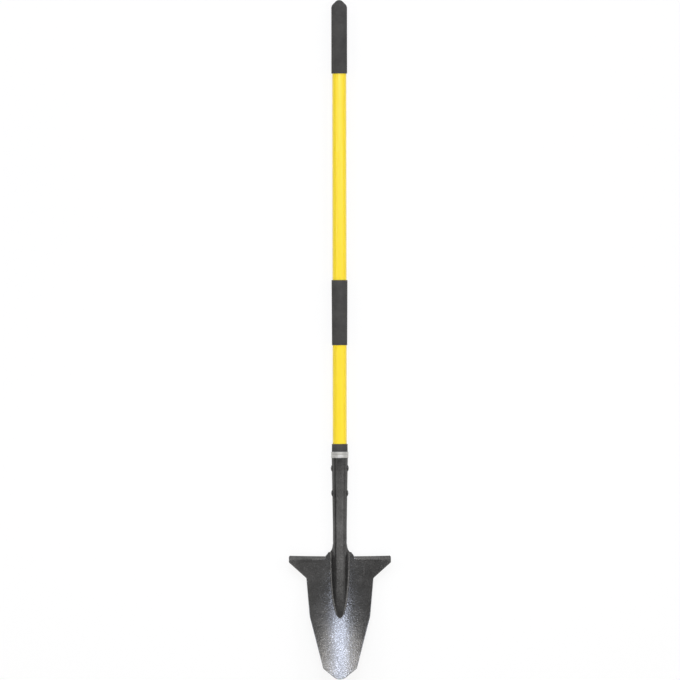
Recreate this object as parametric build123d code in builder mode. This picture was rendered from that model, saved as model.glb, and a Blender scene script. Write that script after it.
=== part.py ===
from build123d import *
import os
from math import asin, cos, degrees, radians, sin, sqrt, tan

# A long-handled drain spade: one pressed steel head, riveted to a fibreglass handle with two grips.
# The pieces are shaped upright: the handle's axis is Z, the tip is at height 0, the digging face looks to -Y.
# The finished spade lies on its back, as on a floor: +Y runs up the handle, +Z out of the digging face.
# All sizes are in millimetres, and heights are above the tip unless a name says otherwise.

# Handle tube and what fills it
overall_length = 1524.0
tube_radius = 15.875
tube_wall = 3.5
tube_engagement = 125.0
plug_length = 130.0
slip_clearance = 0.05

# Closed grip on the handle's end
end_grip_length = 165.0
end_grip_wall = 1.8
end_grip_ceiling = 24.0
crown_radius = 11.0
dome_shoulder_radius = 12.0
dome_slope = 45.0

# Tapered grip part-way up the handle
mid_grip_height = 749.4
mid_grip_length = 145.9
mid_grip_wall_low = 1.3
mid_grip_wall_high = 2.0
grip_rim_round = 0.6

# Collar above the socket's mouth
collar_length = 17.5
collar_wall_low = 1.95
collar_wall_high = 1.75

# Steel sheet and the socket rolled from it
sheet = 2.0
neck_inset = 0.275
neck_length = 64.0
socket_length = 234.2
mouth_gap = 0.6
seam_gap = 1.6
seam_drop = 135.0

# Ring around the socket's mouth
ring_length = 13.9
ring_wall = 0.9
ring_round = 0.5
groove_radius = 0.9
groove_depth = 0.35

# Rivets across the socket, below its mouth
upper_rivet_drop = 37.0
lower_rivet_drop = 92.7
rivet_radius = 3.2
rivet_head_radius = 7.0
rivet_head_height = 2.4
rivet_head_edge = 0.3

# Blade sheet, which curves across and along and leans forward from the handle
step_height = 275.8
step_setback = 7.5
step_tilt = 6.1
blade_curve = 1200.0
dish_radius = 380.0

# Blade outline, seen from the front
step_width = 229.0
wing_depth = 13.8
wing_round = 4.0
shoulder_width = 150.6
shoulder_depth = 49.2
shoulder_round = 5.0
belly_width = 135.8
belly_height = 140.7
belly_round = 14.0
point_width = 75.4
point_round = 7.0
tip_angle = 39.0
tip_radius = 22.7

# Foot steps, folded to the rear, the slits beside them, and the ears between the slits and the neck
step_gap = 66.6
step_depth = 14.3
step_round = 5.0
bend_radius = 4.0
slit_depth = 2.8
slit_width = 0.6
ear_drop = 0.8
ear_width = 51.0
ear_rise = 9.2
flare_width = 45.0
flare_radius = 22.0
flare_lip = 0.4

# Round root of the frog, the hollow ridge that stiffens the blade
root_radius = 8.0

# Heights along the head and the handle
neck_radius = tube_radius - neck_inset
ear_top = step_height + ear_rise
flare_inset = neck_radius + flare_lip + flare_radius - flare_width / 2
frog_top = ear_top + sqrt(flare_radius**2 - flare_inset**2)
neck_top = step_height + neck_length
mouth_height = step_height + socket_length
seam_start = mouth_height - seam_drop
tube_foot = mouth_height - tube_engagement
tube_top = overall_length - end_grip_ceiling
plug_top = tube_foot + plug_length
rivet_heights = {
    "upper_rivet": mouth_height - upper_rivet_drop,
    "lower_rivet": mouth_height - lower_rivet_drop,
}

# Radii of the socket and the handle
hollow_radius = neck_radius - sheet
tube_bore = tube_radius - tube_wall
sleeve_bore = tube_radius + slip_clearance
mouth_radius = tube_radius + mouth_gap + sheet
socket_taper = (mouth_radius - neck_radius) / (mouth_height - neck_top)
seat_height = neck_top + (sleeve_bore + sheet - neck_radius) / socket_taper

# The sheet turns about one axis in front of the blade
curve_y = step_setback - blade_curve * cos(radians(step_tilt))
curve_z = step_height + blade_curve * sin(radians(step_tilt))
blade_axis = Axis((0, curve_y, curve_z), (1, 0, 0))
trim_margin = 12.0
beyond = 60.0
sheet_rise = frog_top - step_height + trim_margin
sheet_run = blade_curve * (asin(curve_z / blade_curve) - radians(step_tilt)) + trim_margin
sheet_turn = degrees((sheet_rise + sheet_run) / blade_curve)
dish_spread = degrees(asin((step_width / 2 + trim_margin) / dish_radius))
fold_radius = bend_radius + sheet

# Corners of the blade's outline, on its right half
apex = (0, tip_radius * (1 - 1 / cos(radians(tip_angle))))
point = (point_width / 2, apex[1] + point_width / 2 * tan(radians(tip_angle)))
belly = (belly_width / 2, belly_height)
shoulder = (shoulder_width / 2, step_height - shoulder_depth)
wing_foot = (step_width / 2, step_height - wing_depth)
wing_top = (step_width / 2, step_height + sheet)
step_end = ((step_gap + slit_width) / 2, step_height + sheet)
slit_outside = ((step_gap + slit_width) / 2, step_height - slit_depth)
slit_inside = ((step_gap - slit_width) / 2, step_height - slit_depth)
ear_foot = ((step_gap - slit_width) / 2, step_height - ear_drop)
ear_corner = (ear_width / 2, ear_top)
flare_start = (flare_width / 2, ear_top)
flare_end = (neck_radius + flare_lip, frog_top)
corner_rounds = (
    (point, point_round),
    (belly, belly_round),
    (shoulder, shoulder_round),
    (wing_foot, wing_round),
    (wing_top, wing_round),
)


def socket_radius(height):
    """Outer radius of the socket at a height on its tapered stretch."""
    return neck_radius + socket_taper * (height - neck_top)


def blade_station(rise):
    """Plane square to the sheet, a distance up the blade from the steps, with local +Y to the rear."""
    tilt = radians(step_tilt) - rise / blade_curve
    origin = (0, curve_y + blade_curve * cos(tilt), curve_z - blade_curve * sin(tilt))
    return Plane(origin=origin, x_dir=(1, 0, 0), z_dir=(0, sin(tilt), cos(tilt)))


def dish_band(plane, front, rear):
    """Band across the blade between two depths behind the sheet's front face."""
    with BuildSketch(plane) as band:
        with BuildLine():
            near = CenterArc((0, -dish_radius), dish_radius + front, 90 - dish_spread, 2 * dish_spread)
            far = CenterArc((0, -dish_radius), dish_radius + rear, 90 - dish_spread, 2 * dish_spread)
            Line(near @ 0, far @ 0)
            Line(near @ 1, far @ 1)
        make_face()
    return band.sketch


def trough(radius):
    """Round-nosed channel around the handle's axis, open to the rear."""
    with BuildSketch() as channel:
        Circle(radius)
        Rectangle(2 * radius, beyond, align=(Align.CENTER, Align.MIN))
    return channel.sketch


def turned_profile(*points):
    """Closed profile of radii and heights beside the handle's axis."""
    with BuildSketch(Plane.XZ) as profile:
        with BuildLine():
            Polyline(*points, close=True)
        make_face()
    return profile.sketch


def socket_profile(inset):
    """Half section of the socket's outside, or of its inside when inset by the sheet."""
    return turned_profile(
        (0, frog_top),
        (neck_radius - inset, frog_top),
        (neck_radius - inset, neck_top),
        (mouth_radius - inset, mouth_height),
        (0, mouth_height),
    )


def rivet_circles(radius):
    """A circle at each rivet, on the plane that the rivets cross."""
    with BuildSketch(Plane.YZ) as circles:
        with Locations(*[(0, height) for height in rivet_heights.values()]):
            Circle(radius)
    return circles.sketch


# Foot steps: the sheet's top edge bends to the rear in a round fold and ends in a flat tread
fold_plane = blade_station(-fold_radius)
fold_axis = Axis(fold_plane.from_local_coords((0, -dish_radius, 0)), fold_plane.z_dir)
with BuildPart() as steps:
    with BuildSketch(Plane(origin=fold_plane.origin, x_dir=fold_plane.y_dir, z_dir=(1, 0, 0))):
        with BuildLine():
            outer_bend = CenterArc((fold_radius, 0), fold_radius, 90, 90)
            inner_bend = CenterArc((fold_radius, 0), bend_radius, 90, 90)
            Polyline(outer_bend @ 0, (step_depth, fold_radius), (step_depth, bend_radius), inner_bend @ 0)
            Line(outer_bend @ 1, inner_bend @ 1)
        make_face()
    revolve(axis=fold_axis, revolution_arc=dish_spread)
    mirror(about=Plane.YZ)
    with BuildSketch(fold_plane):
        with GridLocations((step_width + step_gap) / 2, 0, 2, 1):
            Rectangle((step_width - step_gap) / 2, 2 * beyond)
    extrude(amount=beyond, both=True, mode=Mode.INTERSECT)
    fillet(steps.edges().filter_by(fold_axis), step_round)

# Spade head
sheet_top = blade_station(sheet_rise)
with BuildPart() as blade_head:
    # Front of the frog, as far up as the sheet goes
    extrude(trough(neck_radius), amount=neck_top)
    split(bisect_by=sheet_top, keep=Keep.BOTTOM)

    # Dished sheet, and nothing of the frog behind it
    revolve(dish_band(sheet_top, 0, sheet), blade_axis, -sheet_turn)
    revolve(dish_band(sheet_top, sheet, sheet + 2 * beyond), blade_axis, -sheet_turn, mode=Mode.SUBTRACT)

    # Round root between the frog and the sheet, all the way around its nose
    front_face = blade_head.faces().filter_by(GeomType.TORUS).sort_by(Axis.Y)[0]
    root = front_face.edges().filter_by_position(Axis.X, -neck_radius, neck_radius)
    fillet(root.filter_by_position(Axis.Z, trim_margin, neck_top), root_radius)

    # Hollow of the frog, open to the rear
    extrude(trough(hollow_radius), amount=neck_top, mode=Mode.SUBTRACT)

    # The sheet stops at the folds of the steps
    with BuildSketch(fold_plane):
        with GridLocations(step_width + step_gap, 0, 2, 1):
            Rectangle(step_width, 2 * beyond)
    extrude(amount=beyond, mode=Mode.SUBTRACT)
    add(steps)

    # Outline of blade, wings and ears
    with BuildSketch(Plane.XZ) as outline:
        with BuildLine():
            Polyline(apex, point, belly, shoulder, wing_foot, wing_top, step_end)
            Polyline(step_end, slit_outside, slit_inside, ear_foot, ear_corner, flare_start)
            RadiusArc(flare_start, flare_end, flare_radius)
            Line(flare_end, (0, frog_top))
            mirror(about=Plane.YZ)
        make_face()
        fillet(outline.vertices().sort_by_distance(apex)[0], tip_radius)
        for corner, corner_round in corner_rounds:
            for side in (-1, 1):
                fillet(outline.vertices().sort_by_distance((side * corner[0], corner[1]))[0], corner_round)
    extrude(amount=2 * beyond, both=True, mode=Mode.INTERSECT)

    # Rear of the frog's walls and ears, which slope up to the socket's lips
    wall_foot = blade_station(ear_rise).from_local_coords((0, sheet, 0))
    lip = sqrt(neck_radius**2 - hollow_radius**2)
    with BuildSketch(Plane.YZ):
        with BuildLine():
            Polyline(
                (wall_foot.Y, wall_foot.Z),
                (lip, frog_top),
                (lip + beyond, frog_top),
                (wall_foot.Y + beyond, wall_foot.Z),
                close=True,
            )
        make_face()
    extrude(amount=beyond, both=True, mode=Mode.SUBTRACT)

    # Socket, rolled round the handle
    revolve(socket_profile(0), Axis.Z)
    revolve(socket_profile(sheet), Axis.Z, mode=Mode.SUBTRACT)

    # Seam down the socket's rear, which widens into the hollow of the frog
    seam = turned_profile(
        (-hollow_radius, frog_top),
        (-seam_gap / 2, seam_start),
        (-seam_gap / 2, mouth_height),
        (seam_gap / 2, mouth_height),
        (seam_gap / 2, seam_start),
        (hollow_radius, frog_top),
    )
    extrude(seam, amount=-beyond, mode=Mode.SUBTRACT)
    extrude(rivet_circles(rivet_radius + slip_clearance), amount=beyond, both=True, mode=Mode.SUBTRACT)

# Handle tube, its foot ground to the socket's taper
foot_radius = socket_radius(tube_foot) - sheet - slip_clearance
with BuildPart() as handle_tube:
    tube_profile = turned_profile(
        (tube_bore, tube_foot),
        (foot_radius, tube_foot),
        (tube_radius, seat_height),
        (tube_radius, tube_top),
        (tube_bore, tube_top),
    )
    revolve(tube_profile, Axis.Z)
    extrude(rivet_circles(rivet_radius + slip_clearance), amount=beyond, both=True, mode=Mode.SUBTRACT)

# Hardwood plug under the rivets, and the foam core above it
fill_radius = tube_bore - slip_clearance
with BuildPart() as socket_plug:
    with BuildSketch(Plane.XY.offset(tube_foot)):
        Circle(fill_radius)
    extrude(amount=plug_length)
    extrude(rivet_circles(rivet_radius + slip_clearance), amount=beyond, both=True, mode=Mode.SUBTRACT)
with BuildPart() as foam_core:
    with BuildSketch(Plane.XY.offset(plug_top)):
        Circle(fill_radius)
    extrude(amount=tube_top - plug_top)

# Ring pressed on the socket's mouth, with one groove around it
ring_radius = mouth_radius + ring_wall
ring_foot = mouth_height - ring_length
with BuildPart() as socket_ring:
    with BuildSketch(Plane.XZ) as ring_profile:
        with BuildLine():
            Polyline(
                (socket_radius(ring_foot) + slip_clearance, ring_foot),
                (ring_radius, ring_foot),
                (ring_radius, mouth_height),
                (mouth_radius + slip_clearance, mouth_height),
                close=True,
            )
        make_face()
        fillet(ring_profile.vertices().group_by(Axis.X)[-1], ring_round)
        with Locations((ring_radius + groove_radius - groove_depth, mouth_height - ring_length / 2)):
            Circle(groove_radius, mode=Mode.SUBTRACT)
    revolve(axis=Axis.Z)

# Collar that seals the socket's mouth
with BuildPart() as collar:
    with BuildSketch(Plane.XZ) as collar_profile:
        with BuildLine():
            Polyline(
                (sleeve_bore, mouth_height),
                (tube_radius + collar_wall_low, mouth_height),
                (tube_radius + collar_wall_high, mouth_height + collar_length),
                (sleeve_bore, mouth_height + collar_length),
                close=True,
            )
        make_face()
        fillet(collar_profile.vertices().group_by(Axis.Y)[-1].sort_by(Axis.X)[-1], grip_rim_round)
    revolve(axis=Axis.Z)

# Grip sleeve part-way up the handle, thicker at its upper end
with BuildPart() as mid_grip:
    with BuildSketch(Plane.XZ) as mid_profile:
        with BuildLine():
            Polyline(
                (sleeve_bore, mid_grip_height),
                (tube_radius + mid_grip_wall_low, mid_grip_height),
                (tube_radius + mid_grip_wall_high, mid_grip_height + mid_grip_length),
                (sleeve_bore, mid_grip_height + mid_grip_length),
                close=True,
            )
        make_face()
        fillet(mid_profile.vertices().sort_by(Axis.X)[-2:], grip_rim_round)
    revolve(axis=Axis.Z)

# Closed grip on the handle's end, with a blunt dome
end_grip_radius = tube_radius + end_grip_wall
end_grip_foot = overall_length - end_grip_length
crown_center = (0, overall_length - crown_radius)
slope = radians(dome_slope)
slope_start = (crown_radius * sin(slope), crown_center[1] + crown_radius * cos(slope))
shoulder_center_x = end_grip_radius - dome_shoulder_radius
slope_end_x = shoulder_center_x + dome_shoulder_radius * sin(slope)
slope_end = (slope_end_x, slope_start[1] - (slope_end_x - slope_start[0]) * tan(slope))
shoulder_center = (shoulder_center_x, slope_end[1] - dome_shoulder_radius * cos(slope))
with BuildPart() as end_grip:
    with BuildSketch(Plane.XZ) as end_profile:
        with BuildLine():
            crown = CenterArc(crown_center, crown_radius, 90 - dome_slope, dome_slope)
            dome_shoulder = CenterArc(shoulder_center, dome_shoulder_radius, 0, 90 - dome_slope)
            Line(crown @ 0, dome_shoulder @ 1)
            Polyline(
                dome_shoulder @ 0,
                (end_grip_radius, end_grip_foot),
                (sleeve_bore, end_grip_foot),
                (sleeve_bore, tube_top),
                (0, tube_top),
                crown @ 1,
            )
        make_face()
        fillet(end_profile.vertices().sort_by_distance((end_grip_radius, end_grip_foot))[0], grip_rim_round)
    revolve(axis=Axis.Z)


def make_rivet(height):
    """Solid rivet across the handle's axis, with a low dome at each end that beds on the socket."""
    surface = socket_radius(height)
    rim = (surface + rivet_head_edge, rivet_head_radius)
    top = (surface + rivet_head_height, 0)
    dome_height = rivet_head_height - rivet_head_edge
    dome_radius = (rivet_head_radius**2 + dome_height**2) / (2 * dome_height)
    with BuildPart() as rivet:
        with BuildSketch(Plane(origin=(0, 0, height), x_dir=(1, 0, 0), z_dir=(0, -1, 0))):
            with BuildLine():
                RadiusArc(rim, top, dome_radius)
                Polyline(top, (tube_bore, 0), (tube_bore, rivet_head_radius), rim)
            make_face()
        revolve(axis=Axis((0, 0, height), (1, 0, 0)))
        mirror(about=Plane.YZ)
        revolve(socket_profile(-slip_clearance), Axis.Z, mode=Mode.SUBTRACT)
        with BuildSketch(Plane.YZ):
            with Locations((0, height)):
                Circle(rivet_radius)
        extrude(amount=rim[0], both=True)
    return rivet.part


pieces = {
    "blade_head": blade_head.part,
    "handle_tube": handle_tube.part,
    "socket_plug": socket_plug.part,
    "foam_core": foam_core.part,
    "socket_ring": socket_ring.part,
    "collar": collar.part,
    "mid_grip": mid_grip.part,
    "end_grip": end_grip.part,
}
for name, height in rivet_heights.items():
    pieces[name] = make_rivet(height)

# At rest the rearmost point touches the floor, and the origin is under the middle of the spade
rear_reach = max(piece.bounding_box().max.Y for piece in pieces.values())
resting = Pos(0, -overall_length / 2, rear_reach) * Rot(-90, 0, 0)
os.makedirs("parts", exist_ok=True)
for name, piece in pieces.items():
    piece.move(resting)
    piece.label = name
    export_step(piece, f"parts/{name}.step")
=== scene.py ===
"""Looks of a long-handled drain spade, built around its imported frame.

Shapes are worked out in millimetres in the shaping frame: x to the right, y to the rear of the
digging face, z up the handle from the tip.  RowFrame lays them down on the floor, in metres.
"""

import logging
import math
from dataclasses import dataclass, field
from enum import Enum

import bpy
import numpy as np
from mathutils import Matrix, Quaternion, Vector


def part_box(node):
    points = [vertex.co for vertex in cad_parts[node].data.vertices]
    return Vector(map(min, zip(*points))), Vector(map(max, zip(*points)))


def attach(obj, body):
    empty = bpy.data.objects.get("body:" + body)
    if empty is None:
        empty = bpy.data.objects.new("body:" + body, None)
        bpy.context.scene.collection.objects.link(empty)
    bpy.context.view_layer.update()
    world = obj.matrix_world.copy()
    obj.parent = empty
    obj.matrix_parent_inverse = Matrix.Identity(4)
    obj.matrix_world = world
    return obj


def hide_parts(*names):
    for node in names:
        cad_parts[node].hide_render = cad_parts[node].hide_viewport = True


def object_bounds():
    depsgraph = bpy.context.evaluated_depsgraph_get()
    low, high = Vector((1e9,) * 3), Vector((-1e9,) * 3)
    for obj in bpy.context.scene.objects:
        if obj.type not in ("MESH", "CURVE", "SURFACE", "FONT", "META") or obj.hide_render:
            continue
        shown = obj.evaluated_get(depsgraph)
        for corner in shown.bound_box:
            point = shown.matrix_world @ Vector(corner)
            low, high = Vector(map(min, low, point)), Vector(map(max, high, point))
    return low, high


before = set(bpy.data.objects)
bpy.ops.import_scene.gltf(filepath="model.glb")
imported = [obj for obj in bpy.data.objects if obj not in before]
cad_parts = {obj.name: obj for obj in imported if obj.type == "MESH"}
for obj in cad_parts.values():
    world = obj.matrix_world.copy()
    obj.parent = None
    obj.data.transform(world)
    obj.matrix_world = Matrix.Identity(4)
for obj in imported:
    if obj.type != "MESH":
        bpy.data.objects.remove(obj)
cad_low, cad_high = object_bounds()

MM = 0.001
EDGE_MARK = "edge"
TOUCH = 1e-6
TINY = 1e-9
TURNED_SIDES = 128
TURNED_CORNER_STEPS = 6
Material, Node = bpy.types.Material, bpy.types.Node
Socket, Tree = bpy.types.NodeSocket, bpy.types.NodeTree
Colour = tuple[float, float, float, float]
Point = tuple[float, float, float]
log = logging.getLogger("spade")


@dataclass(frozen=True)
class RowFrame:
    """Where the shaping frame lies in the row frame, in metres."""

    axis_height: float
    tip_reach: float

    @classmethod
    def from_cad(cls) -> "RowFrame":
        """Reads the handle's axis and the blade's tip from the CAD boxes."""
        low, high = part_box("handle_tube")
        return cls((low.z + high.z) / 2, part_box("blade_head")[0].y)

    def place(self, points: np.ndarray) -> np.ndarray:
        """Lays points down in the row frame: X = x, Y = tip + z, Z = axis - y.

        Args:
            points: Points of the shaping frame in millimetres, with x, y, z on the last axis.

        Returns:
            The same points in the row frame, in metres.
        """
        x, y, z = np.moveaxis(points * MM, -1, 0)
        return np.stack([x, self.tip_reach + z, self.axis_height - y], axis=-1)


@dataclass
class Shell:
    """Points and faces of one piece, gathered as whole arrays.

    Each point carries a mark from 0 to 1 that says how near to a worn edge it is.
    """

    points: list[np.ndarray] = field(default_factory=list)
    marks: list[np.ndarray] = field(default_factory=list)
    faces: list[np.ndarray] = field(default_factory=list)
    count: int = 0

    def add_points(self, points: np.ndarray, mark: float = 0.0) -> np.ndarray:
        """Adds points and numbers them.

        Args:
            points: Points in any layout, with x, y, z on the last axis.
            mark: How near to a worn edge they are.

        Returns:
            The points' numbers, in the same layout.
        """
        layout = points.shape[:-1]
        numbers = self.count + np.arange(int(np.prod(layout))).reshape(layout)
        self.points.append(points.reshape(-1, 3))
        self.marks.append(np.full(numbers.size, mark))
        self.count += numbers.size
        return numbers

    def add_patch(self, numbers: np.ndarray, flip: bool = False) -> None:
        """Faces between neighbouring rows and columns, facing along column x row.

        Args:
            numbers: Grid of point numbers, rows first.
            flip: Whether the faces look the other way.
        """
        corners = [numbers[:-1, :-1], numbers[:-1, 1:], numbers[1:, 1:], numbers[1:, :-1]]
        quads = np.stack(corners, axis=-1).reshape(-1, 4)
        self.faces.append(quads[:, ::-1] if flip else quads)

    def mirror(self) -> None:
        """Adds the same shape with x turned to -x, sharing the points that lie on x = 0."""
        points = np.concatenate(self.points)
        faces = np.concatenate(self.faces)
        twinned = np.abs(points[:, 0]) > TOUCH
        twins = np.arange(self.count)
        twins[twinned] = self.count + np.arange(np.count_nonzero(twinned))
        self.points.append(points[twinned] * (-1, 1, 1))
        self.marks.append(np.concatenate(self.marks)[twinned])
        self.faces.append(twins[faces][:, ::-1])
        self.count += np.count_nonzero(twinned)

    def polygons(self) -> list[list[int]]:
        """Faces as lists of numbers, where a face with two equal neighbours is a triangle."""
        faces = np.concatenate(self.faces)
        equal = faces == np.roll(faces, -1, axis=1)
        whole = faces[~equal.any(axis=1)].tolist()
        pinched = equal.sum(axis=1) == 1
        kept = ~equal[pinched]
        return whole + faces[pinched][kept].reshape(-1, 3).tolist()

    def make_object(self, name: str, row_frame: RowFrame) -> bpy.types.Object:
        """Makes the smooth-shaded object that stands for a CAD node.

        Args:
            name: Name of the piece.
            row_frame: Where the shaping frame lies.

        Returns:
            The new object, at the origin, with its place in its mesh.
        """
        mesh = bpy.data.meshes.new(name)
        placed = row_frame.place(np.concatenate(self.points))
        mesh.from_pydata(placed.tolist(), [], self.polygons())
        mesh.polygons.foreach_set("use_smooth", np.ones(len(mesh.polygons), dtype=bool))
        worn = mesh.attributes.new(EDGE_MARK, "FLOAT", "POINT")
        worn.data.foreach_set("value", np.concatenate(self.marks).astype(np.float32))
        mesh.update()
        piece = bpy.data.objects.new(name, mesh)
        bpy.context.scene.collection.objects.link(piece)
        return piece


def smooth_step(value: np.ndarray, start: float, end: float) -> np.ndarray:
    """Rises from 0 at start to 1 at end as 3t^2 - 2t^3."""
    t = np.clip((value - start) / (end - start), 0.0, 1.0)
    return t * t * (3.0 - 2.0 * t)


def running_length(paths: np.ndarray) -> np.ndarray:
    """Length run from the start of each path to each of its points, as a share of the whole.

    Args:
        paths: Points of each path, shaped (paths, points, axes).

    Returns:
        Shares from 0 to 1, shaped (paths, points).
    """
    steps = np.linalg.norm(np.diff(paths, axis=1), axis=2)
    run = np.concatenate([np.zeros((len(paths), 1)), np.cumsum(steps, axis=1)], axis=1)
    return run / run[:, -1:]


def look_up(wanted: np.ndarray, known: np.ndarray, values: np.ndarray, span: float) -> np.ndarray:
    """Interpolates row by row, with each row's known places moved along by its own span.

    Args:
        wanted: Places to read, shaped (rows, columns).
        known: Rising places of each row, all below span.
        values: Values at the known places.
        span: Length set aside for each row.

    Returns:
        The values read, shaped like wanted.
    """
    shelf = span * np.arange(len(known))[:, None]
    read = np.interp((wanted + shelf).ravel(), (known + shelf).ravel(), values.ravel())
    return read.reshape(wanted.shape)


def resample(paths: np.ndarray, shares: np.ndarray) -> np.ndarray:
    """Points at given shares of each path's length.

    Args:
        paths: Points of each path, shaped (paths, points, axes).
        shares: Shares from 0 to 1, shaped (columns,) or (paths, columns).

    Returns:
        Points shaped (paths, columns, axes).
    """
    run = running_length(paths)
    wanted = np.broadcast_to(shares, (len(paths), np.shape(shares)[-1]))
    axes = [look_up(wanted, run, paths[..., axis], span=2.0) for axis in range(paths.shape[-1])]
    return np.stack(axes, axis=-1)


def even_shares(path: np.ndarray, spacing: float, turn: float) -> np.ndarray:
    """Shares of a path's length that step by a spacing, and by a turn where the path bends.

    Args:
        path: Closely spaced points, shaped (points, axes).
        spacing: Longest step, in millimetres.
        turn: Largest change of direction in a step, in degrees.

    Returns:
        Rising shares from 0 to 1.
    """
    edges = np.diff(path, axis=0)
    lengths = np.linalg.norm(edges, axis=1)
    heading = np.unwrap(np.arctan2(edges[:, 1], edges[:, 0]))
    bends = np.abs(np.diff(heading, prepend=heading[0]))
    steps = np.concatenate([[0.0], np.cumsum(lengths / spacing + np.degrees(bends) / turn)])
    run = np.concatenate([[0.0], np.cumsum(lengths)]) / lengths.sum()
    count = int(math.ceil(steps[-1])) + 1
    return np.interp(np.linspace(0.0, steps[-1], count), steps, run)


def rounded_path(corners: np.ndarray, rounds: np.ndarray, steps: int = 12) -> np.ndarray:
    """Polyline whose inner corners are arcs that start radius tan(turn / 2) before them.

    Args:
        corners: Corners of the polyline, shaped (corners, 2).
        rounds: Radius at each inner corner, shaped (corners - 2,).
        steps: Steps in each arc.

    Returns:
        Points along the rounded polyline, shaped (points, 2).
    """
    edges = np.diff(corners, axis=0)
    edges /= np.linalg.norm(edges, axis=1)[:, None]
    came, goes = edges[:-1], edges[1:]
    turn = np.arctan2(came[:, 0] * goes[:, 1] - came[:, 1] * goes[:, 0], (came * goes).sum(axis=1))
    bend = np.where(np.abs(turn) < TINY, TINY, turn)
    cut = rounds * np.tan(np.abs(bend) / 2)
    start = corners[1:-1] - came * cut[:, None]
    side = np.stack([-came[:, 1], came[:, 0]], axis=1) * np.sign(bend)[:, None]
    angle = bend[:, None] * np.linspace(0.0, 1.0, steps + 1)
    ahead = (rounds[:, None] * np.sin(np.abs(angle)))[..., None] * came[:, None]
    aside = (rounds[:, None] * (1.0 - np.cos(angle)))[..., None] * side[:, None]
    arcs = start[:, None] + ahead + aside
    return np.concatenate([corners[:1], arcs.reshape(-1, 2), corners[-1:]])


def outward(path: np.ndarray) -> np.ndarray:
    """Unit normals to the right of a plane path, shaped like the path."""
    along = np.gradient(path, axis=0)
    along /= np.linalg.norm(along, axis=1)[:, None]
    return np.stack([along[:, 1], -along[:, 0]], axis=1)


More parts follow.
